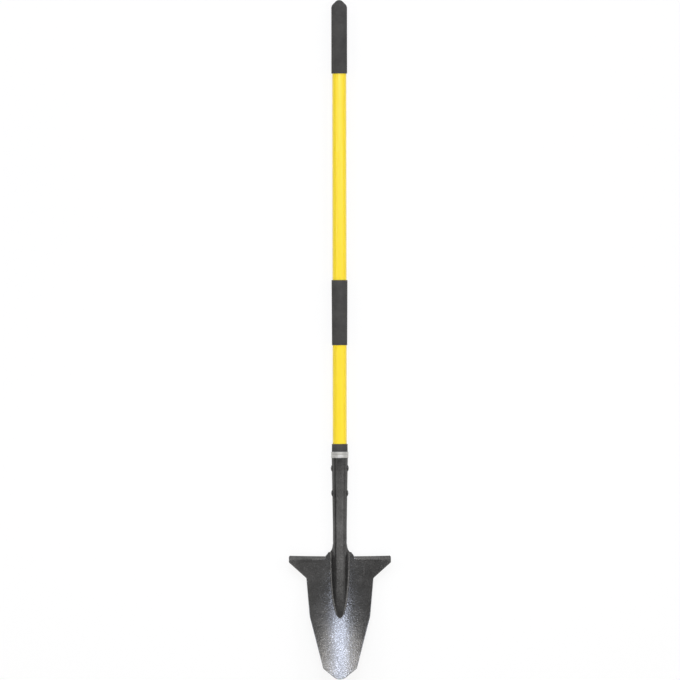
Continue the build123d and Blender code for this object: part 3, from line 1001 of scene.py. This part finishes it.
@dataclass
class Handle:
    """Fibreglass tube with its ground foot, on a foam core and a hardwood plug."""

    foot_height: float = 385.0
    foot_radius: float = 14.3136
    seat_height: float = 477.4
    top_height: float = 1500.0
    radius: float = 15.875
    bore: float = 12.375
    end_round: float = 0.3
    seat_round: float = 40.0

    def dress(
        self, row_frame: RowFrame, fibreglass: "Finish", hardwood: "Finish", foam: "Finish",
    ) -> None:
        """Builds the tube and gives the plug and the core, which stay as they are, their finishes.

        Args:
            row_frame: Where the shaping frame lies.
            fibreglass: Finish of the tube.
            hardwood: Finish of the plug.
            foam: Finish of the core.
        """
        corners = [(self.bore, self.foot_height), (self.foot_radius, self.foot_height),
                   (self.radius, self.seat_height), (self.radius, self.top_height),
                   (self.bore, self.top_height)]
        rounds = [self.end_round, self.end_round, self.seat_round, self.end_round, self.end_round]
        tube = turned("handle_shaft", ring_profile(corners, rounds), row_frame)
        fit(tube, "handle_tube", fibreglass)
        for node, finish in (("socket_plug", hardwood), ("foam_core", foam)):
            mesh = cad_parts[node].data
            mesh.materials.clear()
            mesh.materials.append(finish.material())
            log.info("%s keeps its CAD shape, %s", node, finish.name)


@dataclass
class Grips:
    """Tapered sleeve part-way up the handle, and the closed grip on its end."""

    bore: float = 15.925
    mid_low: float = 749.4
    mid_high: float = 895.3
    mid_low_radius: float = 17.175
    mid_high_radius: float = 17.875
    rim_round: float = 0.6
    bore_round: float = 0.2
    end_foot: float = 1359.0
    end_radius: float = 17.675
    end_bore_rounds: tuple[float, float] = (0.4, 0.3)
    tube_top: float = 1500.0
    top: float = 1523.99
    crown_radius: float = 11.0
    shoulder_radius: float = 12.0
    slope: float = math.radians(45.0)
    arc_points: int = 14
    rim_steps: int = 8

    def end_outline(self) -> np.ndarray:
        """Half profile of the closed grip: bore, rim, side, shoulder arc, slope and crown arc."""
        crown_z = self.top - self.crown_radius
        swing = np.linspace(0.0, self.slope, self.arc_points)
        crown = self.crown_radius * np.stack([np.sin(swing), np.cos(swing)], axis=1)[::-1]
        crown[:, 1] += crown_z
        side_x = self.end_radius - self.shoulder_radius
        start_x = side_x + self.shoulder_radius * math.sin(self.slope)
        start_z = crown[0, 1] - (start_x - crown[0, 0]) * math.tan(self.slope)
        shoulder_z = start_z - self.shoulder_radius * math.cos(self.slope)
        lean = np.linspace(0.0, math.pi / 2 - self.slope, self.arc_points)
        shoulder = self.shoulder_radius * np.stack([np.cos(lean), np.sin(lean)], axis=1)
        shoulder += (side_x, shoulder_z)
        corners = [(0.0, self.tube_top), (self.bore, self.tube_top), (self.bore, self.end_foot),
                   (self.end_radius, self.end_foot), tuple(shoulder[0])]
        rounds = np.array([*self.end_bore_rounds, self.rim_round])
        rim = rounded_path(np.array(corners), rounds, self.rim_steps)[:-1]
        return np.vstack([rim, shoulder, crown])

    def dress(self, row_frame: RowFrame, rubber: "Finish") -> None:
        """Builds both grips.

        Args:
            row_frame: Where the shaping frame lies.
            rubber: Finish of the grips.
        """
        foot, top = (self.mid_low_radius, self.mid_low), (self.mid_high_radius, self.mid_high)
        rounds = [self.bore_round, self.rim_round, self.rim_round, self.bore_round]
        shape = sleeve_profile(self.bore, foot, top, rounds)
        fit(turned("mid_grip_sleeve", shape, row_frame), "mid_grip", rubber)
        end = turned("end_grip_cap", self.end_outline(), row_frame, closed=False)
        fit(end, "end_grip", rubber)


class Grain(Enum):
    """Which way a surface's grain runs, as the stretch of its pattern along X, Y and Z."""

    EVEN = (1.0, 1.0, 1.0)
    ALONG_HANDLE = (1.0, 0.012, 1.0)
    AROUND_HANDLE = (0.02, 1.0, 0.02)


class NodeTree:
    """Shorthand for filling one node tree."""

    def __init__(self, tree: Tree) -> None:
        """Keeps the tree and empties it."""
        self.tree = tree
        tree.nodes.clear()

    def add(self, kind: str, inputs: dict, **settings: object) -> Node:
        """Adds a node, sets its properties, and fills or links its inputs.

        Args:
            kind: Node type without its ShaderNode prefix.
            inputs: Values or output sockets by input name or number.
            **settings: Properties of the node.

        Returns:
            The new node.
        """
        prefix = "" if kind.startswith("NodeGroup") else "ShaderNode"
        node = self.tree.nodes.new(prefix + kind)
        for name, value in settings.items():
            setattr(node, name, value)
        for name, value in inputs.items():
            if isinstance(value, Socket):
                self.tree.links.new(value, node.inputs[name])
            else:
                node.inputs[name].default_value = value
        return node

    def stretched(self, grain: Grain) -> Socket:
        """Object coordinates stretched along a grain."""
        place = self.add("TexCoord", {}).outputs["Object"]
        return self.add("Mapping", {"Vector": place, "Scale": grain.value}).outputs["Vector"]

    def noise(self, vector: Socket, scale: object, detail: float = 2.0) -> Socket:
        """Values of a noise pattern."""
        return self.add("TexNoise", {"Vector": vector, "Scale": scale, "Detail": detail}).outputs["Fac"]

    def remap(self, value: Socket, span: tuple, to: tuple) -> Socket:
        """A value carried from one span to another, and held within it."""
        ends = {"From Min": span[0], "From Max": span[1], "To Min": to[0], "To Max": to[1]}
        return self.add("MapRange", {"Value": value, **ends}).outputs["Result"]

    def math(self, operation: str, first: object, second: object = 0.0) -> Socket:
        """Result of a sum on two values."""
        return self.add("Math", {0: first, 1: second}, operation=operation).outputs["Value"]

    def mix(self, share: object, first: object, second: object) -> Socket:
        """A mix of two colours."""
        return self.add("Mix", {0: share, 6: first, 7: second}, data_type="RGBA").outputs[2]

    def group(self, tree: Tree, **values: object) -> Socket:
        """Value of a shared group that is given its own inputs."""
        return self.add("Group", values, node_tree=tree).outputs["Value"]

    def principled(
        self, colour: Socket, rough: Socket, height: Socket, relief: tuple[float, float], values: dict,
    ) -> Node:
        """Adds the shader of a surface with a relief.

        Args:
            colour: Base colour.
            rough: Roughness.
            height: Height of the relief.
            relief: Strength and depth of the relief.
            values: The shader's other inputs.

        Returns:
            The shader.
        """
        bump = self.add("Bump", {"Height": height, "Strength": relief[0], "Distance": relief[1]})
        surface = {"Base Color": colour, "Roughness": rough, "Normal": bump.outputs["Normal"]}
        return self.add("BsdfPrincipled", {**surface, **values})


@dataclass(frozen=True)
class SharedEffects:
    """Node groups that several finishes use."""

    mottle: Tree
    scuffs: Tree

    @classmethod
    def build(cls) -> "SharedEffects":
        """Builds each group once."""
        return cls(cls.build_mottle(), cls.build_scuffs())

    @staticmethod
    def start(name: str, values: dict[str, float]) -> tuple[NodeTree, Node]:
        """Opens a group with a vector, named values and one output called Value.

        Args:
            name: Name of the group.
            values: Default of each value.

        Returns:
            The group's tree and its input node.
        """
        tree = bpy.data.node_groups.new(name, "ShaderNodeTree")
        tree.interface.new_socket("Vector", in_out="INPUT", socket_type="NodeSocketVector")
        for label, default in values.items():
            socket = tree.interface.new_socket(label, in_out="INPUT", socket_type="NodeSocketFloat")
            socket.default_value = default
        tree.interface.new_socket("Value", in_out="OUTPUT", socket_type="NodeSocketFloat")
        nodes = NodeTree(tree)
        return nodes, nodes.add("NodeGroupInput", {})

    @staticmethod
    def build_mottle() -> Tree:
        """Slow uneven tone: two sizes of noise, carried to a span from Low to High."""
        nodes, given = SharedEffects.start("uneven_tone", {"Scale": 20.0, "Low": 0.0, "High": 1.0})
        size = given.outputs["Scale"]
        broad = nodes.noise(given.outputs["Vector"], size, 3.0)
        close = nodes.noise(given.outputs["Vector"], nodes.math("MULTIPLY", size, 6.5))
        both = nodes.math("ADD", broad, nodes.math("MULTIPLY", close, 0.45))
        value = nodes.remap(both, (0.5, 0.95), (given.outputs["Low"], given.outputs["High"]))
        nodes.add("NodeGroupOutput", {"Value": value})
        return nodes.tree

    @staticmethod
    def build_scuffs() -> Tree:
        """Fine rubbed lines: the crests of a noise drawn out one way, thinned by a patchy noise."""
        nodes, given = SharedEffects.start("rubbed_lines", {"Scale": 60.0, "Amount": 0.5})
        place = given.outputs["Vector"]
        drawn_out = {"Vector": place, "Rotation": (0.4, 0.3, 0.7), "Scale": (1.0, 0.05, 1.0)}
        way = nodes.add("Mapping", drawn_out).outputs["Vector"]
        crests = nodes.remap(nodes.noise(way, given.outputs["Scale"], 4.0), (0.62, 0.72), (0.0, 1.0))
        patches = nodes.remap(nodes.noise(place, 14.0), (0.45, 0.65), (0.0, 1.0))
        value = nodes.math("MULTIPLY", nodes.math("MULTIPLY", crests, patches), given.outputs["Amount"])
        nodes.add("NodeGroupOutput", {"Value": value})
        return nodes.tree


@dataclass(frozen=True)
class Finish:
    """A material that is made once and shared by its pieces."""

    effects: SharedEffects
    name: str = "finish"
    relief: tuple[float, float] = (0.25, 0.0002)

    def material(self) -> Material:
        """Returns the material, which is made on first use."""
        known = bpy.data.materials.get(self.name)
        return known if known else self.make()

    def make(self) -> Material:
        """Makes the material and lets the finish fill its nodes."""
        material = bpy.data.materials.new(self.name)
        material.use_nodes = True
        nodes = NodeTree(material.node_tree)
        shader = self.fill(nodes)
        nodes.add("OutputMaterial", {"Surface": shader.outputs["BSDF"]})
        return material

    def fill(self, nodes: NodeTree) -> Node:
        """Adds the finish's nodes and returns its shader."""
        raise NotImplementedError

    def tone(self, nodes: NodeTree, place: Socket, scale: float, span: tuple[float, float]) -> Socket:
        """Slow uneven tone within a span."""
        return nodes.group(self.effects.mottle, Vector=place, Scale=scale, Low=span[0], High=span[1])

    def scuffs(self, nodes: NodeTree, place: Socket, scale: float, amount: float) -> Socket:
        """Fine rubbed lines up to an amount."""
        return nodes.group(self.effects.scuffs, Vector=place, Scale=scale, Amount=amount)


@dataclass(frozen=True)
class HammeredPaint(Finish):
    """Dark grey baked paint that dries in shallow dimples, with metal flake in it."""

    name: str = "hammered_paint"
    relief: tuple[float, float] = (0.16, 0.0006)
    dimple_scale: float = 300.0
    flake_scale: float = 1100.0
    wander_scale: float = 170.0
    wander: float = 0.0035
    shade: Colour = (0.046, 0.045, 0.044, 1.0)
    flake: Colour = (0.235, 0.232, 0.229, 1.0)
    bare: Colour = (0.34, 0.33, 0.32, 1.0)

    def fill(self, nodes: NodeTree) -> Node:
        """Dimples from smooth cells, flakes from fine cells, rubbed edges from the edge mark."""
        place = nodes.stretched(Grain.EVEN)
        wander = {"Vector": place, "Scale": self.wander_scale, "Detail": 1.0}
        stray = {0: nodes.add("TexNoise", wander).outputs["Color"], "Scale": self.wander}
        drift = nodes.add("VectorMath", stray, operation="SCALE").outputs["Vector"]
        moved = nodes.add("VectorMath", {0: place, 1: drift}, operation="ADD").outputs["Vector"]
        cells = {"Vector": moved, "Scale": self.dimple_scale, "Smoothness": 0.6}
        dimple = nodes.add("TexVoronoi", cells, feature="SMOOTH_F1").outputs["Distance"]
        flakes = nodes.add("TexVoronoi", {"Vector": moved, "Scale": self.flake_scale}).outputs["Color"]
        glint = nodes.add("SeparateColor", {"Color": flakes}).outputs[0]
        sparks = nodes.math("MULTIPLY", nodes.math("POWER", glint, 3.0), 0.40)
        share = nodes.math("ADD", sparks, self.tone(nodes, place, 16.0, (0.0, 0.22)))
        colour = nodes.mix(share, self.shade, self.flake)
        edge = nodes.add("Attribute", {}, attribute_name=EDGE_MARK).outputs["Fac"]
        chips = nodes.remap(nodes.noise(place, 260.0, 4.0), (0.5, 0.68), (0.0, 0.5))
        worn = nodes.math("MULTIPLY", edge, chips)
        rubbed = nodes.math("ADD", worn, self.scuffs(nodes, place, 90.0, 0.10))
        colour = nodes.mix(rubbed, colour, self.bare)
        metal = nodes.remap(glint, (0.2, 0.95), (0.45, 0.85))
        rough = self.tone(nodes, place, 30.0, (0.14, 0.19))
        rough = nodes.math("ADD", rough, nodes.math("MULTIPLY", rubbed, 0.2))
        height = nodes.math("ADD", dimple, nodes.math("MULTIPLY", nodes.noise(place, 900.0), 0.18))
        return nodes.principled(colour, rough, height, self.relief, {
            "Metallic": metal, "Coat Weight": 0.05, "Coat Roughness": 0.2,
            "Specular Tint": (0.4, 0.4, 0.4, 1.0),
        })


@dataclass(frozen=True)
class DrawnFibreglass(Finish):
    """Yellow fibreglass drawn through a die, with fine fibres along it."""

    name: str = "drawn_fibreglass"
    fibre_scale: float = 900.0
    lemon: Colour = (0.95, 0.72, 0.016, 1.0)
    amber: Colour = (0.88, 0.55, 0.008, 1.0)

    def fill(self, nodes: NodeTree) -> Node:
        """Lengthwise fibre noise tints the resin and ripples it slightly."""
        place = nodes.stretched(Grain.EVEN)
        along = nodes.stretched(Grain.ALONG_HANDLE)
        fibre = nodes.noise(along, self.fibre_scale, 4.0)
        strands = nodes.remap(fibre, (0.45, 0.75), (0.0, 0.30))
        share = nodes.math("ADD", strands, self.tone(nodes, place, 9.0, (0.0, 0.12)))
        colour = nodes.mix(share, self.lemon, self.amber)
        rough = nodes.remap(fibre, (0.3, 0.7), (0.30, 0.40))
        rough = nodes.math("ADD", rough, self.scuffs(nodes, place, 70.0, 0.2))
        height = nodes.math("ADD", fibre, nodes.math("MULTIPLY", nodes.noise(place, 700.0), 0.25))
        coat = {"Coat Weight": 0.2, "Coat Roughness": 0.2}
        return nodes.principled(colour, rough, height, self.relief, coat)


@dataclass(frozen=True)
class MouldedRubber(Finish):
    """Charcoal rubber, matt from the mould, with a fine pebbled skin."""

    name: str = "moulded_rubber"
    relief: tuple[float, float] = (0.6, 0.0004)
    pebble_scale: float = 850.0
    char: Colour = (0.044, 0.043, 0.042, 1.0)
    bloom: Colour = (0.088, 0.086, 0.083, 1.0)

    def fill(self, nodes: NodeTree) -> Node:
        """Pebbles from fine cells, and a pale bloom in slow patches and rubbed lines."""
        place = nodes.stretched(Grain.EVEN)
        cells = {"Vector": place, "Scale": self.pebble_scale}
        pebbles = nodes.add("TexVoronoi", cells, feature="SMOOTH_F1").outputs["Distance"]
        tone = self.tone(nodes, place, 28.0, (0.05, 0.55))
        share = nodes.math("ADD", tone, self.scuffs(nodes, place, 80.0, 0.35))
        colour = nodes.mix(share, self.char, self.bloom)
        rough = nodes.remap(pebbles, (0.1, 0.8), (0.80, 0.62))
        return nodes.principled(colour, rough, pebbles, self.relief, {"Specular IOR Level": 0.2})


@dataclass(frozen=True)
class SatinPlating(Finish):
    """Pale plated steel, brushed around the ring."""

    name: str = "satin_plating"
    relief: tuple[float, float] = (0.25, 0.0001)
    brush_scale: float = 2200.0
    bright: Colour = (0.60, 0.59, 0.57, 1.0)
    dull: Colour = (0.38, 0.37, 0.355, 1.0)

    def fill(self, nodes: NodeTree) -> Node:
        """Brush lines around the ring vary its tone, polish and relief."""
        place = nodes.stretched(Grain.EVEN)
        around = nodes.stretched(Grain.AROUND_HANDLE)
        lines = nodes.noise(around, self.brush_scale, 3.0)
        streaks = nodes.remap(lines, (0.4, 0.75), (0.0, 0.45))
        share = nodes.math("ADD", streaks, self.tone(nodes, place, 60.0, (0.0, 0.35)))
        colour = nodes.mix(share, self.bright, self.dull)
        rough = nodes.remap(lines, (0.3, 0.7), (0.46, 0.58))
        rough = nodes.math("ADD", rough, self.scuffs(nodes, place, 120.0, 0.25))
        return nodes.principled(colour, rough, lines, self.relief, {"Metallic": 0.6})


@dataclass(frozen=True)
class BareHardwood(Finish):
    """Bare turned hardwood, its grain along the handle."""

    name: str = "bare_hardwood"
    relief: tuple[float, float] = (0.4, 0.0002)
    ring_scale: float = 260.0
    pore_scale: float = 1700.0
    early: Colour = (0.50, 0.31, 0.15, 1.0)
    late: Colour = (0.29, 0.15, 0.06, 1.0)

    def fill(self, nodes: NodeTree) -> Node:
        """Growth rings drawn out along the handle, with fine pores."""
        place = nodes.stretched(Grain.EVEN)
        along = nodes.stretched(Grain.ALONG_HANDLE)
        rings = nodes.noise(along, self.ring_scale, 3.0)
        pores = nodes.noise(along, self.pore_scale)
        bands = nodes.remap(rings, (0.35, 0.65), (0.0, 0.75))
        share = nodes.math("ADD", bands, self.tone(nodes, place, 40.0, (0.0, 0.25)))
        colour = nodes.mix(share, self.early, self.late)
        rough = nodes.remap(pores, (0.3, 0.7), (0.55, 0.75))
        return nodes.principled(colour, rough, pores, self.relief, {})


@dataclass(frozen=True)
class CutFoam(Finish):
    """Pale closed-cell foam."""

    name: str = "cut_foam"
    relief: tuple[float, float] = (0.6, 0.0004)
    cell_scale: float = 1100.0
    pale: Colour = (0.80, 0.76, 0.62, 1.0)
    deep: Colour = (0.58, 0.52, 0.38, 1.0)

    def fill(self, nodes: NodeTree) -> Node:
        """Cells of a millimetre or less, darker towards their middles."""
        place = nodes.stretched(Grain.EVEN)
        cells = nodes.add("TexVoronoi", {"Vector": place, "Scale": self.cell_scale}).outputs["Distance"]
        middles = nodes.remap(cells, (0.1, 0.6), (0.5, 0.0))
        share = nodes.math("ADD", middles, self.tone(nodes, place, 30.0, (0.0, 0.3)))
        colour = nodes.mix(share, self.pale, self.deep)
        rough = nodes.remap(cells, (0.0, 0.6), (0.7, 0.9))
        return nodes.principled(colour, rough, cells, self.relief, {})


class LampShape(Enum):
    """Shape of a softbox, and its area as a share of its two sizes' product."""

    RECTANGLE = 1.0
    DISK = math.pi / 4


@dataclass(frozen=True)
class Lamp:
    """A softbox that looks at a point from a direction, and how bright its face is."""

    name: str
    shape: LampShape
    aim: Point
    toward: Point
    distance: float
    size: tuple[float, float]
    radiance: float
    colour: Point = (1.0, 1.0, 1.0)
    roll: float = 0.0

    def hang(self) -> None:
        """Makes the lamp: watts = radiance x pi x area."""
        data = bpy.data.lights.new(self.name, "AREA")
        data.shape = self.shape.name
        data.size, data.size_y = self.size
        data.energy = self.radiance * math.pi * self.size[0] * self.size[1] * self.shape.value
        data.color = self.colour
        lamp = bpy.data.objects.new(self.name, data)
        way = np.array(self.toward) / np.linalg.norm(self.toward)
        place = np.array(self.aim) + way * self.distance
        lamp.location = place.tolist()
        lamp.rotation_mode = "QUATERNION"
        looks = Vector((-way).tolist()).to_track_quat("-Z", "Y")
        lamp.rotation_quaternion = looks @ Quaternion((0.0, 0.0, 1.0), self.roll)
        lamp.visible_camera = False
        bpy.context.scene.collection.objects.link(lamp)


def leaning(angle: float, across: float = 0.0) -> Point:
    """Way up, leant over the handle by an angle in degrees and moved across."""
    return across, math.sin(math.radians(angle)), math.cos(math.radians(angle))


@dataclass
class Studio:
    """Pale floor, soft light and the camera straight above the spade."""

    frame_width: float = 1.5262
    camera_x: float = 0.0009
    camera_y: float = -0.0011
    camera_turn: float = math.radians(-0.076)
    lens: float = 1200.0
    sensor: float = 36.0
    view_reach: float = 100.0
    floor_size: float = 120.0
    glow_share: float = 0.85
    left_level: float = 0.10
    right_level: float = 0.35
    blade_middle: Point = (0.0, -0.68, 0.03)
    neck_middle: Point = (0.0, -0.46, 0.03)
    handle_middle: Point = (0.0, 0.25, 0.0)
    lamp_distance: float = 4.0
    arm_roll: float = math.radians(52.0)
    floor_lines: int = 5

    def lamps(self) -> tuple[Lamp, ...]:
        """A cool strip and pale lamps that the blade mirrors, faint ones at the neck, and softboxes."""
        box, disk = LampShape.RECTANGLE, LampShape.DISK
        cool, pale, warm = (0.72, 0.80, 1.0), (1.0, 0.975, 0.94), (1.0, 0.96, 0.88)
        middle, blade, neck = self.handle_middle, self.blade_middle, self.neck_middle
        far, roll, side = self.lamp_distance, self.arm_roll, math.radians(75.0)
        arm = (0.9, 0.5)
        return (
            Lamp("blade_strip", box, blade, leaning(30.4), far, (0.56, 1.1), 14.3, cool),
            Lamp("right_blade_disk", disk, blade, leaning(34.5, 0.14), far, (0.8, 0.8), 5.2, pale),
            Lamp("left_blade_disk", disk, blade, leaning(34.5, -0.14), far, (0.8, 0.8), 4.2, pale),
            Lamp("low_softbox", disk, blade, leaning(43.0), far, (2.6, 2.6), 0.75),
            Lamp("right_arm_strip", box, blade, (0.601, 0.378, 0.704), far, arm, 8.2, pale, roll),
            Lamp("left_arm_strip", box, blade, (-0.601, 0.378, 0.704), far, arm, 8.2, pale, -roll),
            Lamp("right_ear_disk", disk, neck, (0.70, 0.21, 0.68), far, (1.1, 1.1), 2.6),
            Lamp("left_ear_disk", disk, neck, (-0.70, 0.21, 0.68), far, (1.1, 1.1), 2.6),
            Lamp("neck_strip", box, neck, (0.0, 0.0, 1.0), 0.8, (2.8, 0.22), 1.15),
            Lamp("side_strip", box, neck, (math.sin(side), 0.0, math.cos(side)), 1.6, (0.14, 0.8), 0.7),
            Lamp("near_softbox", box, middle, (0.0, -0.72, 0.68), far, (2.6, 2.6), 1.85, warm),
            Lamp("step_softbox", box, neck, leaning(66.0), far, (6.0, 2.4), 1.2),
        )

    def lay_floor(self) -> None:
        """A flat floor under the spade, mostly aglow where it is seen, and shaded by the spade."""
        lines = np.linspace(-self.floor_size / 2, self.floor_size / 2, self.floor_lines)
        across, deep = np.meshgrid(lines, lines)
        level = np.full_like(across, cad_low.z)
        mesh = bpy.data.meshes.new("studio_floor")
        numbers = np.arange(across.size).reshape(across.shape)
        corners = [numbers[:-1, :-1], numbers[:-1, 1:], numbers[1:, 1:], numbers[1:, :-1]]
        faces = np.stack(corners, axis=-1).reshape(-1, 4)
        points = np.stack([across, deep, level], axis=-1).reshape(-1, 3)
        mesh.from_pydata(points.tolist(), [], faces.tolist())
        floor = bpy.data.objects.new("studio_floor", mesh)
        bpy.context.scene.collection.objects.link(floor)
        mesh.materials.append(self.floor_paper())

    @staticmethod
    def seen_directly(nodes: NodeTree) -> Socket:
        """1 for rays from the camera, mirrored rays and rays through glass."""
        path = nodes.add("LightPath", {})
        seen = nodes.math("MAXIMUM", path.outputs["Is Camera Ray"], path.outputs["Is Glossy Ray"])
        return nodes.math("MAXIMUM", seen, path.outputs["Is Transmission Ray"])

    def floor_paper(self) -> Material:
        """White paper that glows with strength 1 where it is seen, and keeps part of its shade."""
        material = bpy.data.materials.new("white_paper")
        material.use_nodes = True
        nodes = NodeTree(material.node_tree)
        fibre = nodes.noise(nodes.add("TexCoord", {}).outputs["Object"], 40.0, 3.0)
        rough = nodes.remap(fibre, (0.3, 0.7), (0.8, 0.95))
        paper = nodes.add("BsdfDiffuse", {"Color": (0.95, 0.95, 0.95, 1.0), "Roughness": rough})
        glow = nodes.add("Emission", {"Color": (1.0, 1.0, 1.0, 1.0), "Strength": 1.0})
        share = nodes.math("MULTIPLY", self.seen_directly(nodes), self.glow_share)
        both = nodes.add("MixShader", {0: share, 1: paper.outputs["BSDF"], 2: glow.outputs["Emission"]})
        nodes.add("OutputMaterial", {"Surface": both.outputs["Shader"]})
        return material

    def light_world(self) -> None:
        """A grey world that grows evenly brighter from the left to the right."""
        world = bpy.data.worlds.new("studio_air")
        bpy.context.scene.world = world
        world.use_nodes = True
        nodes = NodeTree(world.node_tree)
        way = nodes.add("TexCoord", {}).outputs["Generated"]
        right = nodes.add("SeparateXYZ", {"Vector": way}).outputs["X"]
        level = nodes.remap(right, (-1.0, 1.0), (self.left_level, self.right_level))
        air = nodes.add("Background", {"Color": (1.0, 1.0, 1.0, 1.0), "Strength": level})
        nodes.add("OutputWorld", {"Surface": air.outputs["Background"]})

    def set_camera(self, row_frame: RowFrame) -> None:
        """A long lens straight above, whose frame is as wide as the photograph's at the handle's axis.

        Args:
            row_frame: Where the shaping frame lies.
        """
        data = bpy.data.cameras.new("photo_camera")
        data.lens = self.lens
        data.sensor_width = self.sensor
        data.clip_end = self.view_reach
        camera = bpy.data.objects.new("photo_camera", data)
        reach = self.frame_width * self.lens / self.sensor
        camera.location = (self.camera_x, self.camera_y, row_frame.axis_height + reach)
        camera.rotation_euler = (0.0, 0.0, self.camera_turn)
        bpy.context.scene.collection.objects.link(camera)
        bpy.context.scene.camera = camera

    def set_up(self, row_frame: RowFrame) -> None:
        """Sets the camera, the floor and the light, and the plain view transform."""
        self.set_camera(row_frame)
        self.lay_floor()
        self.light_world()
        for lamp in self.lamps():
            lamp.hang()
        bpy.context.scene.view_settings.view_transform = "Standard"


def main() -> None:
    """Builds the studio and then the spade, sub-assembly by sub-assembly."""
    logging.basicConfig(level=logging.INFO, format="%(name)s: %(message)s")
    row_frame = RowFrame.from_cad()
    Studio().set_up(row_frame)
    effects = SharedEffects.build()
    rubber = MouldedRubber(effects)
    SpadeHead().dress(row_frame, HammeredPaint(effects))
    SocketMouth().dress(row_frame, SatinPlating(effects), rubber)
    Handle().dress(row_frame, DrawnFibreglass(effects), BareHardwood(effects), CutFoam(effects))
    Grips().dress(row_frame, rubber)


if __name__ == "__main__":
    main()
